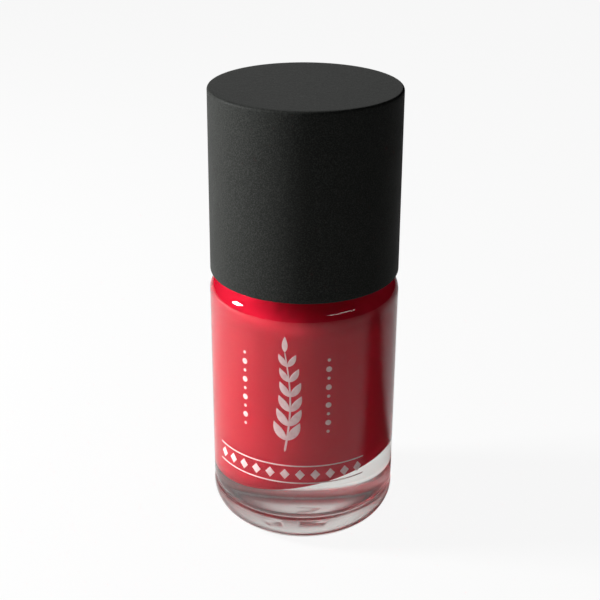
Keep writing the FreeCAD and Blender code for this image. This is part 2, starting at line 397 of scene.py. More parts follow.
# Glass bottle.
glass = {
    "shoulderDrop": 0.6 * mm,  # overcap's edge down to the shoulder
    "heelRound": 4.0 * mm,
    "markTop": 5.5 * mm,  # the mould's parting ring
    "markBottom": 4.7 * mm,
    "markFoot": 4.4 * mm,
    "markDepth": 0.2 * mm,
    "shoulderRound": 2.2 * mm,
    "pushUpRadius": 7.4 * mm,
    "pushUpHeight": 0.4 * mm,
    "neckRadius": 5.7 * mm,
    "neckRootRound": 0.8 * mm,
    "lipRound": 0.4 * mm,
    "boreRadius": 3.4 * mm,
    "boreRound": 0.8 * mm,
    "innerShoulderRound": 3.0 * mm,
    "floorHeight": 7.2 * mm,
    "floorSlopeX": 0.237,
    "floorSlopeY": -0.08,
    "floorFillet": 2.5 * mm,
    "leanFade": 8.0 * mm,  # height over which the floor's lean dies out
    "threadPitch": 2.117 * mm,
    "threadDepth": 0.8 * mm,
    "threadRise": 2.9 * mm,  # shoulder to the thread's start
    "threadTurns": 1.5,
    "threadStart": math.radians(20),
    "threadFade": (-0.01, 0.05),  # turns over which a thread's ends rise from the wall
    "rootShare": 0.62,  # widths of the ridge, as shares of the pitch
    "crestShare": 0.24,
    "seam": 0.025 * mm,  # mould line down each side
    "seamWidth": 0.02,  # as the sine of an angle
    "wave": 0.03 * mm,  # unevenness of the blown inner wall
    "waveRound": (3, 5),  # waves in a full turn
    "waveUp": (400.0, 260.0),  # and their radians for each metre up
    "bars": 5,  # short marks in the hollow of the base
    "barRing": 3.4 * mm,
    "barWidth": 0.35 * mm,
    "barDepth": 0.07 * mm,
    "barEdge": (-0.2, 0.4),  # cosines between which a bar rises to its full depth
    "barShift": 0.6,  # how unevenly the bars are spaced, in radians
    "barShifts": 3,
    "segments": 264,
}
shoulderHeight = capLow[2] - glass["shoulderDrop"]


# Outside of the glass from the middle of the base to the lip: a shallow dome h(1 - (r/a)^2), a
# flat ring, a quarter circle, a straight wall cut in a little at the mould's parting ring, and
# the shoulder and neck with their rounds.
def glassOutside():
    dome = np.linspace(0, glass["pushUpRadius"], 40)
    domeRun = np.stack([dome, glass["pushUpHeight"] * (1 - (dome / glass["pushUpRadius"]) ** 2)], -1)
    heel, top, neck = glass["heelRound"], glass["shoulderRound"], glass["neckRadius"]
    root, lip = glass["neckRootRound"], glass["lipRound"]
    markRadius = bodyRadius - glass["markDepth"]
    return joinRuns(
        domeRun,
        arcRun((bodyRadius - heel, heel), heel, -90, 0, 36),
        lineRun((bodyRadius, heel), (bodyRadius, glass["markFoot"]), 3),
        lineRun((bodyRadius, glass["markFoot"]), (markRadius, glass["markBottom"]), 4),
        lineRun((markRadius, glass["markBottom"]), (bodyRadius, glass["markTop"]), 8),
        lineRun((bodyRadius, glass["markTop"]), (bodyRadius, shoulderHeight - top), 40),
        arcRun((bodyRadius - top, shoulderHeight - top), top, 0, 90, 20),
        lineRun((bodyRadius - top, shoulderHeight), (neck + root, shoulderHeight), 6),
        arcRun((neck + root, shoulderHeight + root), root, 270, 180, 9),
        lineRun((neck, shoulderHeight + root), (neck, neckTop - lip), 88),
        arcRun((neck - lip, neckTop - lip), lip, 0, 90, 7),
    )


# Inside of the glass from the floor's middle to the roof of the cavity, grown outwards by grow:
# a flat floor, a quarter circle, a straight wall and a rounded roof.
def cavitySide(grow):
    radius, floor = innerRadius + grow, glass["floorHeight"] - grow
    fillet, top = glass["floorFillet"] + grow, glass["innerShoulderRound"] + grow
    roof = cavityTop + grow
    return joinRuns(
        lineRun((0, floor), (radius - fillet, floor), 14),
        arcRun((radius - fillet, floor + fillet), fillet, -90, 0, 18),
        lineRun((radius, floor + fillet), (radius, roof - top), 40),
        arcRun((radius - top, roof - top), top, 0, 90, 16),
    )


# The cavity's floor leans: each point below the fillet's top rises by slopeX x + slopeY y, and
# the rise dies out up the wall.
def leanRise(x, y, height):
    start = glass["floorHeight"] + glass["floorFillet"]
    share = 1 - smoothStep(start, start + glass["leanFade"], height)
    return share * (glass["floorSlopeX"] * x + glass["floorSlopeY"] * y)


# Height of a thread's ridge, from 0 to 1, at an angle and a height: 1 within half the crest's
# width of the helix, 0 beyond half the root's width, and faded out at its two ends.
def threadRidge(angle, height, startHeight, startAngle, turns, rootShare, crestShare):
    turnCount = (height - startHeight) / glass["threadPitch"]
    around = (angle - startAngle) / (2 * np.pi)
    helixTurn = around + np.round(turnCount - around)
    away = np.abs(turnCount - helixTurn)
    ridge = 1 - smoothStep(crestShare / 2, rootShare / 2, away)
    fade = glass["threadFade"]
    ends = smoothStep(*fade, helixTurn) * smoothStep(*fade, turns - helixTurn)
    return ridge * ends


# Marks pressed into the base: a broken ring of short bars, each a ridge
# d exp(-((r - ringRadius) / w)^2) cut off round the axis by a steep cosine.
def baseMarks(x, y):
    angle = np.arctan2(y, x)
    radius = np.hypot(x, y)
    ring = np.exp(-((radius - glass["barRing"]) / glass["barWidth"]) ** 2)
    shift = glass["barShift"] * np.sin(glass["barShifts"] * angle)
    bar = smoothStep(*glass["barEdge"], np.cos(glass["bars"] * angle + shift))
    return glass["barDepth"] * ring * bar


# Bottle: the outside and the cavity as one closed profile, turned about Z, then moved outwards by
# the thread's ridge d t, the mould lines -s (1 - exp(-(sin a / w)^2)) and the inner wall's waves
# w sin(3a + bz) cos(5a - cz), with marks pressed in the base and the cavity's floor made to lean.
def makeBottle():
    bore, boreRound, lip = glass["boreRadius"], glass["boreRound"], glass["lipRound"]
    outside = glassOutside()
    inside = joinRuns(
        cavitySide(0),
        lineRun((innerRadius - glass["innerShoulderRound"], cavityTop), (bore + boreRound, cavityTop), 6),
        arcRun((bore + boreRound, cavityTop + boreRound), boreRound, 270, 180, 9),
        lineRun((bore, cavityTop + boreRound), (bore, neckTop - lip), 16),
        arcRun((bore + lip, neckTop - lip), lip, 180, 90, 7),
    )
    profile = joinRuns(outside, inside[::-1])
    x, y, z = turnProfile(profile, glass["segments"])
    angle = ringAngles(glass["segments"])
    isOutside = (np.arange(len(profile)) < len(outside))[:, None]
    radius = np.hypot(x, y)
    onNeck = isOutside & (z > shoulderHeight + glass["neckRootRound"]) & (z < neckTop - lip)
    ridge = threadRidge(angle, z, shoulderHeight + glass["threadRise"], glass["threadStart"],
                        glass["threadTurns"], glass["rootShare"], glass["crestShare"])
    grown = np.where(onNeck, glass["threadDepth"] * ridge, 0)
    # the two mould lines are at +X and -X, where sin a is 0
    onWall = isOutside & (z > glass["heelRound"]) & (z < shoulderHeight - glass["shoulderRound"])
    seam = glass["seam"] * (1 - np.exp(-(np.sin(angle) / glass["seamWidth"]) ** 2))
    grown = grown - np.where(onWall, seam, 0)
    few, many = glass["waveRound"]
    fast, slow = glass["waveUp"]
    wave = np.sin(few * angle + fast * z) * np.cos(many * angle - slow * z)
    onInnerWall = ~isOutside & (radius > innerRadius - touching)
    grown = grown + np.where(onInnerWall, glass["wave"] * wave, 0)
    growth = 1 + grown / np.maximum(radius, tiny)
    x, y = x * growth, y * growth
    inHollow = isOutside & (radius < glass["pushUpRadius"]) & (z < shoulderHeight / 2)
    z = z - np.where(inHollow, baseMarks(x, y), 0)
    z = z + np.where(isOutside | (z > cavityTop - touching), 0, leanRise(x, y, z))
    body = gridFaces(np.stack([x, y, z], -1))
    addPiece("glassBottle", [body], [clearGlass], "bottle", "clear_glass", "glass_bottle")


# Polish.
polish = {
    "sink": 0.06 * mm,  # how far it is let into the glass, which it wets
    "headspace": 4.2 * mm,
    "film": 0.35 * mm,
    "filmEdge": 0.3 * mm,
    "meniscus": 0.5 * mm,
    "segments": 224,
}


# The liquid and its film: the cavity's side, then back down inside the film, a meniscus, and
# the level surface to the axis.
def makePolishFill():
    side = cavitySide(polish["sink"])
    film, level, curl = polish["film"], cavityTop - polish["headspace"], polish["meniscus"]
    filmRadius, top = innerRadius - film, glass["innerShoulderRound"] - film
    roof = cavityTop - film
    edge = glass["boreRadius"] + glass["boreRound"] + polish["filmEdge"]
    inner = joinRuns(
        lineRun((edge + film, cavityTop + polish["sink"]), (edge, cavityTop), 3),
        lineRun((edge, cavityTop), (edge + film / 2, roof), 3),
        lineRun((edge + film / 2, roof), (filmRadius - top, roof), 5),
        arcRun((filmRadius - top, roof - top), top, 90, 0, 14),
        lineRun((filmRadius, roof - top), (filmRadius, level + curl), 8),
        arcRun((filmRadius - curl, level + curl), curl, 0, -90, 8),
        lineRun((filmRadius - curl, level), (0, level), 12),
    )
    profile = joinRuns(side, inner)
    x, y, z = turnProfile(profile, polish["segments"])
    z = z + np.where(z > level - touching, 0, leanRise(x, y, z))
    points, quads, threes = gridFaces(np.stack([x, y, z], -1))
    mesh = addPiece("polishFill", [(points, quads, threes)], [polishBody, polishWet],
                    "bottle", "red_polish", "nail_polish")
    # the surfaces that face the air are the wet, glossy ones: the rows after the cavity's side
    firstPoint = np.concatenate([quads.min(axis=1), threes.min(axis=1)])
    facesAir = firstPoint // polish["segments"] >= len(side)
    mesh.polygons.foreach_set("material_index", facesAir.astype(np.int32))


# Overcap.
overcap = {
    "draft": 0.12 * mm,
    "topRound": 0.35 * mm,
    "rimRound": 0.25 * mm,
    "topThickness": 2.0 * mm,
    "dish": 0.06 * mm,  # sink of the moulded top at its middle
    "segments": 256,
}


# The overcap's skin: a dished top z = H - s(1 - (r/a)^2), its rounded edge, a side that widens
# downwards by the draft, the rounded rim, and the bore with its roof.
def makeOvercap():
    top, rim, height = overcap["topRound"], overcap["rimRound"], capHigh[2]
    topRadius = capRadius - overcap["draft"]
    crown = np.linspace(0, topRadius - top, 24)
    crownRun = np.stack([crown, height - overcap["dish"] * (1 - (crown / (topRadius - top)) ** 2)], -1)
    roof = height - overcap["topThickness"]
    profile = joinRuns(
        crownRun,
        arcRun((topRadius - top, height - top), top, 90, 0, 10),
        lineRun((topRadius, height - top), (capRadius, capLow[2] + rim), 50),
        arcRun((capRadius - rim, capLow[2] + rim), rim, 0, -90, 8),
        lineRun((capRadius - rim, capLow[2]), (capInnerRadius + rim, capLow[2]), 3),
        arcRun((capInnerRadius + rim, capLow[2] + rim), rim, -90, -180, 6),
        lineRun((capInnerRadius, capLow[2] + rim), (capInnerRadius, roof), 20),
        lineRun((capInnerRadius, roof), (0, roof), 8),
    )
    x, y, z = turnProfile(profile, overcap["segments"])
    body = gridFaces(np.stack([x, y, z], -1))
    addPiece("overcapShell", [body], [softBlack], "cap", "soft_black", "overcap")


# Inner cap.
innerCap = {
    "skirtInside": 6.7 * mm,
    "skirtOutside": 7.8 * mm,
    "seatRing": 1.0 * mm,
    "plate": 1.2 * mm,
    "socketRadius": 2.06 * mm,
    "socketOutside": 3.06 * mm,
    "socketRoof": 1.0 * mm,
    "socketGap": 0.2 * mm,
    "flangeTop": 1.6 * mm,  # above the neck's top: the gasket and the brush's flange
    "threadReach": 0.8 * mm,
    "threadLead": 1.05 * mm,  # lower edge to the middle of the ridge at its start
    "threadTurns": 1.25,
    "rootShare": 0.6,
    "crestShare": 0.33,
    "round": 0.15 * mm,
    "clear": 0.45 * mm,  # corner to the fine part of the skirt's inner wall
    "ribs": 12,
    "ribThickness": 1.0 * mm,
    "ribOverlap": 0.3 * mm,
    "ribGap": 0.02 * mm,
    "ribFace": 0.97,  # a rib's flat face, as a share of its outline
    "segments": 256,
}
cornerPull = 0.3  # how far an eased corner's middle point is cut in


# A corner (radius, height) eased: its two sides cut back by the round, with a point between.
def easedCorners(corners, ease):
    corners = np.array(corners)
    back = np.roll(corners, 1, axis=0)[1:-1] - corners[1:-1]
    ahead = np.roll(corners, -1, axis=0)[1:-1] - corners[1:-1]
    back = back / np.linalg.norm(back, axis=1)[:, None]
    ahead = ahead / np.linalg.norm(ahead, axis=1)[:, None]
    eased = np.stack([corners[1:-1] + back * ease,
                      corners[1:-1] + (back + ahead) * ease * cornerPull,
                      corners[1:-1] + ahead * ease], 1).reshape(-1, 2)
    return np.concatenate([corners[:1], eased, corners[-1:]])


# Ribs: an L-shaped outline at four depths across a rib's thickness, closed to its middle at both
# ends, and turned to the middle of each equal part of a full turn.
def makeRibs(low, plateTop):
    skirtRoot = innerCap["skirtOutside"] - innerCap["ribOverlap"]
    socketRoot = innerCap["socketOutside"] - innerCap["ribOverlap"]
    ringRoot = low + innerCap["seatRing"] / 2
    plateRoot = plateTop - innerCap["plate"] / 2
    edge, roof = capInnerRadius - innerCap["ribGap"], innerCapHigh[2]
    plan = np.array([(skirtRoot, ringRoot), (edge, ringRoot), (edge, roof), (socketRoot, roof),
                     (socketRoot, plateRoot), (skirtRoot, plateRoot)])
    middle = plan.mean(axis=0)
    face = middle + (plan - middle) * innerCap["ribFace"]
    point = plan * 0 + middle
    half, ease = innerCap["ribThickness"] / 2, innerCap["round"]
    outlines = np.stack([point, face, plan, plan, face, point])
    depths = np.array([-half, -half, -half + ease, half - ease, half, half])
    across = np.repeat(depths[:, None], len(plan), axis=1)
    grid = np.stack([outlines[..., 0], across, outlines[..., 1]], -1)
    turns = 2 * np.pi * (np.arange(innerCap["ribs"]) + 0.5) / innerCap["ribs"]
    return [gridFaces(grid @ np.array(Matrix.Rotation(turn, 3, "Z")).T) for turn in turns]


# Threaded closure: a turned skirt, plate and socket whose inner wall carries the cap's helical
# ridge, and ribs up to the overcap's roof.
def makeInnerCap():
    low, ease, clear = innerCapLow[2], innerCap["round"], innerCap["clear"]
    plateLow = neckTop + innerCap["flangeTop"]
    plateTop = plateLow + innerCap["plate"]
    socketEnd = plugTop + innerCap["socketGap"]
    socketTop = socketEnd + innerCap["socketRoof"]
    seatTop = low + innerCap["seatRing"]
    inside, outside = innerCap["skirtInside"], innerCap["skirtOutside"]
    outer = easedCorners([
        (0, socketTop), (innerCap["socketOutside"], socketTop), (innerCap["socketOutside"], plateTop),
        (outside, plateTop), (outside, seatTop), (capInnerRadius, seatTop), (capInnerRadius, low),
        (inside, low), (inside, low + clear)], ease)
    wall = lineRun((inside, low + clear), (inside, plateLow - clear), 110)
    under = easedCorners([
        (inside, plateLow - clear), (inside, plateLow), (innerCap["socketRadius"], plateLow),
        (innerCap["socketRadius"], socketEnd), (0, socketEnd)], ease)
    profile = joinRuns(outer, wall, under)
    x, y, z = turnProfile(profile, innerCap["segments"])
    start = low + innerCap["threadLead"]
    neckStart = shoulderHeight + glass["threadRise"]
    turned = 2 * np.pi * ((start - neckStart) / glass["threadPitch"] + 0.5)
    ridge = threadRidge(ringAngles(innerCap["segments"]), z, start, glass["threadStart"] + turned,
                        innerCap["threadTurns"], innerCap["rootShare"], innerCap["crestShare"])
    radius = np.hypot(x, y)
    onWall = (np.abs(radius - inside) < touching) & (z < plateLow - clear)
    shrink = 1 - np.where(onWall, innerCap["threadReach"] * ridge, 0) / np.maximum(radius, tiny)
    body = gridFaces(np.stack([x * shrink, y * shrink, z], -1))
    addPiece("innerCapClosure", [body] + makeRibs(low, plateTop), [closurePlastic],
             "cap", "closure_plastic", "inner_cap")


# Gasket.
gasketShape = {"hole": 1.9 * mm, "round": 0.12 * mm, "segments": 128}


# A washer: a rounded oblong carried round the axis.
def makeGasket():
    ease, hole, rim = gasketShape["round"], gasketShape["hole"], gasketHigh[0]
    low, high = gasketLow[2] + ease, gasketHigh[2] - ease
    profile = np.concatenate([
        arcRun((rim - ease, high), ease, 90, 0, 6),
        arcRun((rim - ease, low), ease, 0, -90, 6),
        arcRun((hole + ease, low), ease, -90, -180, 6),
        arcRun((hole + ease, high), ease, 180, 90, 6),
    ])
    x, y, z = turnProfile(profile, gasketShape["segments"])
    body = gridFaces(np.stack([x, y, z], -1), rowsWrap=True)
    addPiece("foamGasket", [body], [whiteFoam], "gasket", "white_foam", "neck_gasket")


# Brush.
brush = {
    "stemRadius": 1.4 * mm,
    "stemTopRadius": 1.55 * mm,
    "endRound": 0.3 * mm,
    "socketRadius": 0.95 * mm,
    "socketDepth": 3.5 * mm,
    "flange": 0.8 * mm,
    "flangeRadius": 5.4 * mm,
    "plugRadius": 2.0 * mm,
    "bead": 0.25 * mm,
    "beadHeight": 0.8 * mm,
    "beadRise": 1.6 * mm,
    "plugChamfer": 0.4 * mm,
    "ease": 0.1 * mm,
    "segments": 128,
}


# The stem: a tuft socket, a rounded end, a tapered shaft, the sealing flange and the snap plug.
def makeStem():
    flangeLow = gasketHigh[2]
    flangeTop = flangeLow + brush["flange"]
    bead, half = flangeTop + brush["beadRise"], brush["beadHeight"] / 2
    profile = easedCorners([
        (0, stemEnd + brush["socketDepth"]), (brush["socketRadius"], stemEnd + brush["socketDepth"]),
        (brush["socketRadius"], stemEnd), (brush["stemRadius"], stemEnd),
        (brush["stemTopRadius"], flangeLow), (brush["flangeRadius"], flangeLow),
        (brush["flangeRadius"], flangeTop), (brush["plugRadius"], flangeTop),
        (brush["plugRadius"], bead - half), (brush["plugRadius"] + brush["bead"], bead),
        (brush["plugRadius"], bead + half), (brush["plugRadius"], plugTop - brush["plugChamfer"]),
        (brush["plugRadius"] - brush["plugChamfer"], plugTop), (0, plugTop)], brush["ease"])
    x, y, z = turnProfile(profile, brush["segments"])
    body = gridFaces(np.stack([x, y, z], -1))
    addPiece("brushStem", [body], [stemPlastic], "brush", "stem_plastic", "brush_stem")


tuft = {
    "filaments": 230,
    "filamentRadius": 0.045 * mm,
    "sides": 5,
    "steps": 15,
    "swell": 1.7 * mm,  # widest radius of the tuft
    "swellAt": 0.45,  # share of the way to the tip where it is widest
    "swellPower": 1.2,
    "closeOver": 0.56,  # share over which it closes again
    "closePower": 2.6,
    "tipRadius": 0.6 * mm,
    "bunched": 0.9,  # the filaments' reach, as a share of the wet tuft's radius
    "outerShorter": 0.10,
    "ragged": 0.03,
    "sway": 0.03 * mm,
    "thinning": 0.75,
    "rooted": 0.6,  # depth of the roots, as a share of the socket's
}


# Radius of the tuft at a share t of the way from the stem's end to the tip: it swells as
# sin(pi/2 t/a)^p, and closes as sqrt(1 - ((t - a)/b)^q) on to a straight taper.
def tuftRadius(share):
    opening = np.sin(np.pi / 2 * np.minimum(share / tuft["swellAt"], 1)) ** tuft["swellPower"]
    swell = brush["socketRadius"] + (tuft["swell"] - brush["socketRadius"]) * opening
    past = np.clip((share - tuft["swellAt"]) / tuft["closeOver"], 0, 1)
    close = np.sqrt(np.clip(1 - past ** tuft["closePower"], 0, 1))
    return tuft["tipRadius"] * (1 - close) * (1 - share) + swell * close


# Filaments: a sunflower of roots, each carried down the tuft at its own share of the tuft's
# radius, as a five-sided tube that thins to its end by the cube of the way down.
def makeBristles():
    count, sides, thickness = tuft["filaments"], tuft["sides"], tuft["filamentRadius"]
    number = np.arange(count)
    reach = np.sqrt((number + 0.5) / count)
    around = number * math.pi * (3 - math.sqrt(5))
    reachDown = 1 - tuft["outerShorter"] * reach ** 2 - rng.uniform(0, tuft["ragged"], count)
    share = np.linspace(0, 1, tuft["steps"])
    along = share[None, :] * reachDown[:, None]
    centre = tuftRadius(along) * tuft["bunched"] * reach[:, None]
    sway = rng.normal(0, tuft["sway"], (count, 2))[:, None, :] * share[None, :, None] ** 2
    x = centre * np.cos(around)[:, None] + sway[..., 0]
    y = centre * np.sin(around)[:, None] + sway[..., 1]
    z = stemEnd - along * (stemEnd - tipHeight)
    middle = np.stack([x, y, z], -1)
    root = middle[:, :1] + [0, 0, brush["socketDepth"] * tuft["rooted"]]
    middle = np.concatenate([root, middle], axis=1)
    thickness = thickness * np.concatenate([[1], 1 - tuft["thinning"] * share ** 3])
    side = ringAngles(sides)
    ring = np.stack([np.cos(side), np.sin(side), np.zeros(sides)], -1)
    tubes = middle[:, :, None, :] + ring[None, None] * thickness[None, :, None, None]
    first, last = (middle[:, end, None, None, :].repeat(sides, axis=2) for end in (0, -1))
    tubes = np.concatenate([first, tubes, last], axis=1)
    sets = [gridFaces(tube) for tube in tubes]
    addPiece("bristleTuft", sets, [bristleNylon], "brush", "bristle_nylon", "brush_bristles")


coating = {
    "top": 9.0 * mm,  # reach up the stem
    "thickness": 0.07 * mm,
    "topShare": 0.2,  # thickness at the top and on the tuft, as shares of it
    "tuftShare": 0.6,
    "tuftReach": 0.97,
    "tipReach": 0.985,
    "firstShare": 0.02,
    "tuftRings": 70,
    "stemRings": 24,
    "crowding": 1.3,  # power that crowds the rings to the tip
    "fineRidges": 23,
    "fineDepth": 0.012,
    "fineWaver": 3.0,
    "fineRise": 600.0,
    "broadRidges": 9,
    "broadDepth": 0.014,
    "broadRise": 250.0,
    "ridgeFade": 2.0 * mm,
    "edgeWaves": 3,  # of the upper edge, round the stem
    "edgeHeight": 0.8 * mm,
    "edgeReach": 1.2 * mm,
    "segments": 144,
}


# Polish that clings to the brush: a sleeve on the stem's lower end, the tuft's radius with soft
# ridges d sin(n a + ...) where filaments show, and a rounded drop at the tip. Its upper edge
# waves by h sin(3a) exp(-((z - edge) / w)^2).
def makeBrushCoat():
    coat, length = coating["thickness"], stemEnd - tipHeight
    edgeTop, stem = stemEnd + coating["top"], brush["stemRadius"]
    share = np.linspace(coating["firstShare"], 1, coating["tuftRings"])
    share = 1 - (1 - share) ** coating["crowding"]
    onTuft = np.stack([tuftRadius(share * coating["tuftReach"]) + coat * coating["tuftShare"],
                       stemEnd - share * length * coating["tipReach"]], -1)
    coatTop = (stem + coat * coating["topShare"], edgeTop)
    onStem = lineRun(coatTop, (stem + coat, stemEnd + brush["endRound"]), coating["stemRings"])
    lid = [(0, edgeTop - coat), (stem / 2, edgeTop - coat)]
    profile = joinRuns(lid, onStem, onTuft, [(0, tipHeight)])
    x, y, z = turnProfile(profile, coating["segments"])
    angle = ringAngles(coating["segments"])
    fine = np.sin(coating["fineRidges"] * angle + coating["fineWaver"] * np.sin(coating["fineRise"] * z))
    broad = np.sin(coating["broadRidges"] * angle + coating["broadRise"] * z)
    ridges = fine * coating["fineDepth"] + broad * coating["broadDepth"]
    growth = 1 + ridges * smoothStep(stemEnd, stemEnd - coating["ridgeFade"], z)
    edge = np.exp(-((z - edgeTop) / coating["edgeReach"]) ** 2) * np.sin(coating["edgeWaves"] * angle)
    edge = edge * coating["edgeHeight"] * np.minimum(np.hypot(x, y) / stem, 1)
    body = gridFaces(np.stack([x * growth, y * growth, z + edge], -1))
    addPiece("brushCoat", [body], [polishWet], "brush", "red_polish")


# Print on the glass.
decor = {
    "cover": 0.018 * mm,  # ink above and below the glass's surface
    "sink": 0.03 * mm,
    "edgeShare": 0.46,  # half the flat top, as a share of a stroke's width
    "stroke": 0.28 * mm,
    "finest": 0.02 * mm,  # a stroke's width where it comes to a point
    "middle": -11.0,  # degrees round from the front
    "sprigLow": 14.6 * mm,
    "sprigHigh": 28.6 * mm,
    "sprigSway": 0.7 * mm,
    "leafPairs": 6,
    "leafFrom": 0.12,  # where the leaves start and end, as shares of the stalk
    "leafTo": 0.86,
    "leafLength": 3.5 * mm,
    "leafWidth": 1.2 * mm,
    "leafRise": 0.78,  # a leaf's reach up and to the side, as shares of its length
    "leafSpread": 0.5,
    "leafShrink": 0.45,
    "leafBow": 1.5,  # how fast a leaf sets off sideways
    "leafBase": 0.8,  # powers that make a leaf's outline fuller
    "leafFull": 0.9,
    "crown": 0.6,  # the top leaf, as a share of the others
    "stalkEnd": 0.02,  # rounded share of a stroke at each end
    "hairlineEnd": 0.004,
    "blunt": 0.02,
    "hairline": 0.6,  # as a share of the stalk's width
    "beads": 9,
    "beadsAside": 26.0,  # degrees from the middle to each column of beads
    "beadsLow": 17.5 * mm,
    "beadsHigh": 27.5 * mm,
    "bigBead": 0.75 * mm,
    "smallBead": 0.42 * mm,
    "bandHeight": 11.3 * mm,
    "bandHalf": 1.25 * mm,
    "bandFrom": -62.0,
    "bandTo": 40.0,
    "lozenges": 11,
    "lozengeWide": 1.25 * mm,
    "lozengeTall": 1.5 * mm,
    "lozengePoint": 0.01,
    "steps": 24,
}


# A stroke of ink along a path of (round, up) distances on the unrolled glass: a flat bar of the
# given widths, carried along the path, wrapped on to the cylinder as (R sin(s/R), -R cos(s/R)).
def inkStroke(path, width):
    ahead = np.gradient(path, axis=0)
    ahead = ahead / np.linalg.norm(ahead, axis=1)[:, None]
    across = np.stack([-ahead[:, 1], ahead[:, 0]], -1)
    edge = decor["edgeShare"]
    sideways = np.array([-0.5, -edge, edge, 0.5, edge, -edge])
    cover, sink = decor["cover"], decor["sink"]
    height = np.array([0, cover, cover, 0, -sink, -sink])
    width = np.maximum(width, decor["finest"])[:, None]
    flat = path[:, None, :] + across[:, None, :] * (width * sideways)[..., None]
    radius = bodyRadius - glass["seam"] + np.tile(height, (len(path), 1))
    turn = flat[..., 0] / bodyRadius
    points = np.stack([radius * np.sin(turn), -radius * np.cos(turn), flat[..., 1]], -1)
    first, last = (points[row].mean(axis=0)[None, None].repeat(6, axis=1) for row in (0, -1))
    return gridFaces(np.concatenate([first, points, last]))


# Width along a stroke with round ends: full, less a quarter circle at each end.
def roundEnds(share, width, endShare):
    near = np.minimum(np.minimum(share, 1 - share) / endShare, 1)
    return width * np.sqrt(np.clip(1 - (1 - near) ** 2, decor["blunt"], 1))


# Distance round the glass from the front to an angle in degrees.
def roundTo(degrees):
    return bodyRadius * math.radians(degrees)


# Sprig: a stalk that sways as a half sine, and pairs of leaves whose rise is r t and whose side
# reach is s (b t - (b - 1) t^2), as wide as sin(pi t^p)^q, all smaller towards the top.
def sprigStrokes():
    share, leafShare = np.linspace(0, 1, 2 * decor["steps"]), np.linspace(0, 1, decor["steps"])
    middle, low, tall = roundTo(decor["middle"]), decor["sprigLow"], decor["sprigHigh"] - decor["sprigLow"]
    sway, shrink = decor["sprigSway"], decor["leafShrink"]
    length, bow = decor["leafLength"], decor["leafBow"]
    stalk = np.stack([middle + sway * np.sin(np.pi * share), low + tall * share], -1)
    stalkWidth = roundEnds(share, decor["stroke"], decor["stalkEnd"]) * (1 - shrink * share)
    strokes = [inkStroke(stalk, stalkWidth)]
    leafWidth = decor["leafWidth"] * np.sin(np.pi * leafShare ** decor["leafBase"]) ** decor["leafFull"]
    for at in np.linspace(decor["leafFrom"], decor["leafTo"], decor["leafPairs"]):
        size = 1 - shrink * at
        foot = np.array([middle + sway * math.sin(math.pi * at), low + tall * at])
        rise = leafShare * length * size * decor["leafRise"]
        reach = length * size * decor["leafSpread"] * (bow * leafShare - (bow - 1) * leafShare ** 2)
        for side in (-1, 1):
            strokes.append(inkStroke(foot + np.stack([side * reach, rise], -1), leafWidth * size))
    crown = stalk[-1] + np.stack([0 * leafShare, leafShare * length * decor["crown"]], -1)
    strokes.append(inkStroke(crown, leafWidth * decor["crown"]))
    return strokes


# Beads: short strokes as long as they are wide, with round ends, big and small by turns.
def beadStrokes(degrees):
    share = np.linspace(0, 1, decor["steps"])
    strokes = []
    for number, height in enumerate(np.linspace(decor["beadsLow"], decor["beadsHigh"], decor["beads"])):
        size = decor["bigBead"] if number % 2 else decor["smallBead"]
        path = np.stack([roundTo(degrees) + 0 * share, height + (share - 0.5) * size], -1)
        strokes.append(inkStroke(path, roundEnds(share, size, 0.5)))
    return strokes


# Band: two level hairlines, and between them lozenges as wide as 1 - |2t - 1|.
def bandStrokes():
    share = np.linspace(0, 1, decor["steps"])
    longShare = np.linspace(0, 1, 4 * decor["steps"])
    start, end = roundTo(decor["bandFrom"]), roundTo(decor["bandTo"])
    width = decor["stroke"] * decor["hairline"]
    strokes = []
    for height in (decor["bandHeight"] - decor["bandHalf"], decor["bandHeight"] + decor["bandHalf"]):
        rule = np.stack([start + (end - start) * longShare, height + 0 * longShare], -1)
        strokes.append(inkStroke(rule, roundEnds(longShare, width, decor["hairlineEnd"])))
    width = decor["lozengeTall"] * (1 + decor["lozengePoint"] - np.abs(2 * share - 1))
    for number in range(decor["lozenges"]):
        at = start + (end - start) * (number + 0.5) / decor["lozenges"]
        path = np.stack([at + (share - 0.5) * decor["lozengeWide"], decor["bandHeight"] + 0 * share], -1)
        strokes.append(inkStroke(path, width))
    return strokes


# Plain ornament: a sprig between two columns of beads, over a band of lozenges.
def makePrint():
    aside = decor["beadsAside"]
    columns = beadStrokes(decor["middle"] - aside) + beadStrokes(decor["middle"] + aside)
    sets = sprigStrokes() + columns + bandStrokes()
    mesh = addPiece("glassPrint", sets, [screenInk], "bottle", "clear_glass")
    mesh.shade_flat()


makeBottle()
print("glass bottle made")
makePolishFill()
print("polish made")
makeOvercap()
makeInnerCap()
print("cap made")
makeGasket()
makeStem()
makeBristles()
makeBrushCoat()
print("brush made")
makePrint()
print("print made")


# CAD nodes that stay as they are, and take only a material.
metals = {"mixing_ball_1": polishedSteel, "mixing_ball_2": polishedSteel, "bristle_staple": stapleWire}
for nodeName, metal in metals.items():
    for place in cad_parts[nodeName].material_slots:
        place.material = metal


# Floor, world, lamps, camera.
studio = {
    "floorSize": 1.2,
    "floorColour": (0.64, 0.64, 0.635),
    "floorPaler": (0.66, 0.66, 0.655),
    "floorCloud": 40.0,
    "floorRoughness": 0.7,
    "floorGloss": 0.1,
    "floorGlow": 0.92,  # share of the floor that is plain white to the camera
    "floorGlowInGloss": 0.0,  # and to a reflection
    "floorGlowInGlass": 0.5,  # and through glass
    "glassWhite": 0.72,  # how bright that white is through glass
    "worldLight": 0.05,
    "worldInGloss": 0.0,
    "worldInGlass": 0.62,  # through glass, on the right
    "worldLeftInGlass": 0.85,  # and on the left, where the window is
    "worldSide": 0.6,  # how far to a side, from -1 to 1, those are reached
    "aimHeight": 0.03,  # what the lamps face
}
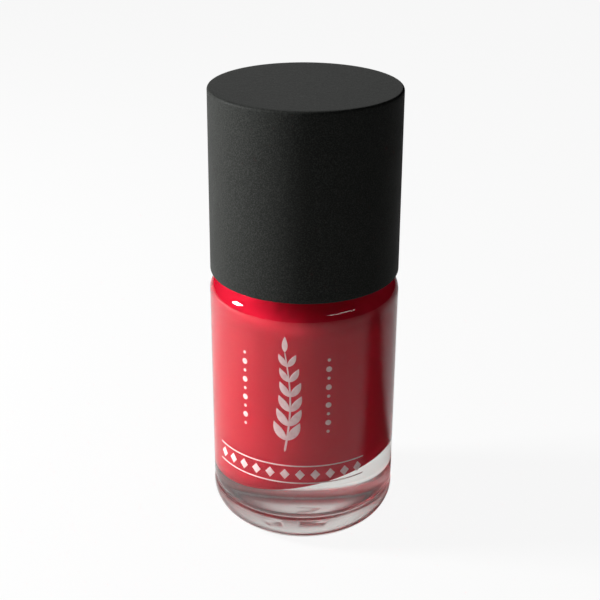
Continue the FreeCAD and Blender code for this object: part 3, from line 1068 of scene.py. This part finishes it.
# each lamp's bearing from the front in degrees, height, distance, width, length and power, and
# whether it lights matt surfaces
lamps = {
    "leftWindow": (-90, 0.155, 0.27, 0.06, 0.07, 1.9, True),
    "frontCard": (50, 0.34, 0.42, 0.30, 0.05, 0.2, False),
}


# Light Path's answer for one kind of ray, turned into a number that is low for other rays and
# high for that kind.
def byRay(tree, kind, low, high):
    rays = tree.nodes.new("ShaderNodeLightPath")
    return addRange(tree, rays.outputs[kind], 0, 1, low, high)


# A number that is high only for what is seen straight through glass: light that a surface has
# already scattered keeps to the low, plain level.
def throughGlass(tree, high):
    seen, scattered = byRay(tree, "Is Transmission Ray", 0, high), byRay(tree, "Diffuse Depth", 1, 0)
    return addMath(tree, "MULTIPLY", seen, scattered)


# Floor: diffuse, so that it holds the shadow, mixed with plain white by a share that depends on
# whether the camera, a reflection or glass looks at it.
def makeFloor():
    half = studio["floorSize"] / 2
    axis = np.linspace(-half, half, 9)
    x, y = np.meshgrid(axis, axis)
    points, quads, threes = gridFaces(np.stack([x, y, np.zeros_like(x)], -1), columnsWrap=False)
    mesh = bpy.data.meshes.new("studioFloor")
    mesh.from_pydata(points.tolist(), [], quads.tolist())
    floor = bpy.data.objects.new("studioFloor", mesh)
    scene.collection.objects.link(floor)
    material, tree, shader = newMaterial("studioFloor")
    stops = list(zip(noiseSpan, (studio["floorColour"], studio["floorPaler"])))
    colourBy(tree, shader, addNoise(tree, studio["floorCloud"]), stops)
    shader.inputs["Roughness"].default_value = studio["floorRoughness"]
    shader.inputs["Specular IOR Level"].default_value = studio["floorGloss"]
    white = tree.nodes.new("ShaderNodeEmission")
    inGlass = byRay(tree, "Is Transmission Ray", 1, studio["glassWhite"])
    tree.links.new(inGlass, white.inputs["Strength"])
    share = addMath(tree, "ADD", byRay(tree, "Is Camera Ray", 0, studio["floorGlow"]),
                   addMath(tree, "ADD", byRay(tree, "Is Glossy Ray", 0, studio["floorGlowInGloss"]),
                          throughGlass(tree, studio["floorGlowInGlass"])))
    mix = tree.nodes.new("ShaderNodeMixShader")
    tree.links.new(share, mix.inputs["Fac"])
    tree.links.new(shader.outputs["BSDF"], mix.inputs[1])
    tree.links.new(white.outputs["Emission"], mix.inputs[2])
    tree.links.new(mix.outputs["Shader"], tree.nodes["Material Output"].inputs["Surface"])
    mesh.materials.append(material)


# World: a low fill, plus what it takes to be white to the camera, pale through glass, and dim
# in reflections.
def makeWorld():
    world = bpy.data.worlds.new("studioWorld")
    scene.world = world
    world.use_nodes = True
    tree = world.node_tree
    fill = tree.nodes["Background"]
    fill.inputs["Color"].default_value = (1, 1, 1, 1)
    low = studio["worldLight"]
    place = tree.nodes.new("ShaderNodeTexCoord")
    parts = tree.nodes.new("ShaderNodeSeparateXYZ")
    tree.links.new(place.outputs["Generated"], parts.inputs["Vector"])
    far, left, right = (studio[name] for name in ("worldSide", "worldLeftInGlass", "worldInGlass"))
    side = addRange(tree, parts.outputs["X"], -far, far, left - low, right - low)
    strength = addMath(tree, "ADD", byRay(tree, "Is Camera Ray", low, 1),
                      addMath(tree, "ADD", byRay(tree, "Is Glossy Ray", 0, studio["worldInGloss"] - low),
                             addMath(tree, "MULTIPLY", throughGlass(tree, 1.0), side)))
    tree.links.new(strength, fill.inputs["Strength"])


# A rectangular lamp at (d sin b, -d cos b, height) for a bearing b, facing the bottle.
def addLamp(name, bearing, height, distance, width, tall, power, lightsMatt):
    lamp = bpy.data.lights.new(name, "AREA")
    lamp.shape = "RECTANGLE"
    lamp.size, lamp.size_y = width, tall
    lamp.energy = power
    holder = bpy.data.objects.new(name, lamp)
    scene.collection.objects.link(holder)
    angle = math.radians(bearing)
    place = Vector((distance * math.sin(angle), -distance * math.cos(angle), height))
    holder.location = place
    aim = Vector((0, 0, studio["aimHeight"])) - place
    holder.rotation_euler = aim.to_track_quat("-Z", "Y").to_euler()
    holder.visible_diffuse = lightsMatt


view = {
    "back": 143.8 * mm,  # camera behind the front of the object
    "high": 95.5 * mm,
    "pitch": 24.425,
    "yaw": -0.212,
    "roll": 0.355,
    "lens": 73.2,
    "sensor": 36.0,
    "near": 5 * mm,
}


# Camera: its forward is (sin yaw cos pitch, cos yaw cos pitch, -sin pitch), and its right and up
# are turned about that by the roll.
def makeCamera():
    pitch, yaw, roll = (math.radians(view[name]) for name in ("pitch", "yaw", "roll"))
    forward = Vector((math.sin(yaw) * math.cos(pitch), math.cos(yaw) * math.cos(pitch), -math.sin(pitch)))
    right = forward.cross(Vector((0, 0, 1))).normalized()
    up = right.cross(forward)
    turnedRight = math.cos(roll) * right + math.sin(roll) * up
    turnedUp = -math.sin(roll) * right + math.cos(roll) * up
    place = Matrix((turnedRight, turnedUp, -forward)).transposed().to_4x4()
    place.translation = Vector((0, -view["back"], view["high"]))
    camera = bpy.data.cameras.new("studioCamera")
    camera.sensor_width = view["sensor"]
    camera.lens = view["lens"]
    camera.clip_start = view["near"]
    holder = bpy.data.objects.new("studioCamera", camera)
    scene.collection.objects.link(holder)
    holder.matrix_world = place
    scene.camera = holder


makeFloor()
makeWorld()
for lampName, values in lamps.items():
    addLamp(lampName, *values)
makeCamera()
scene.view_settings.view_transform = "Standard"
print("studio set")
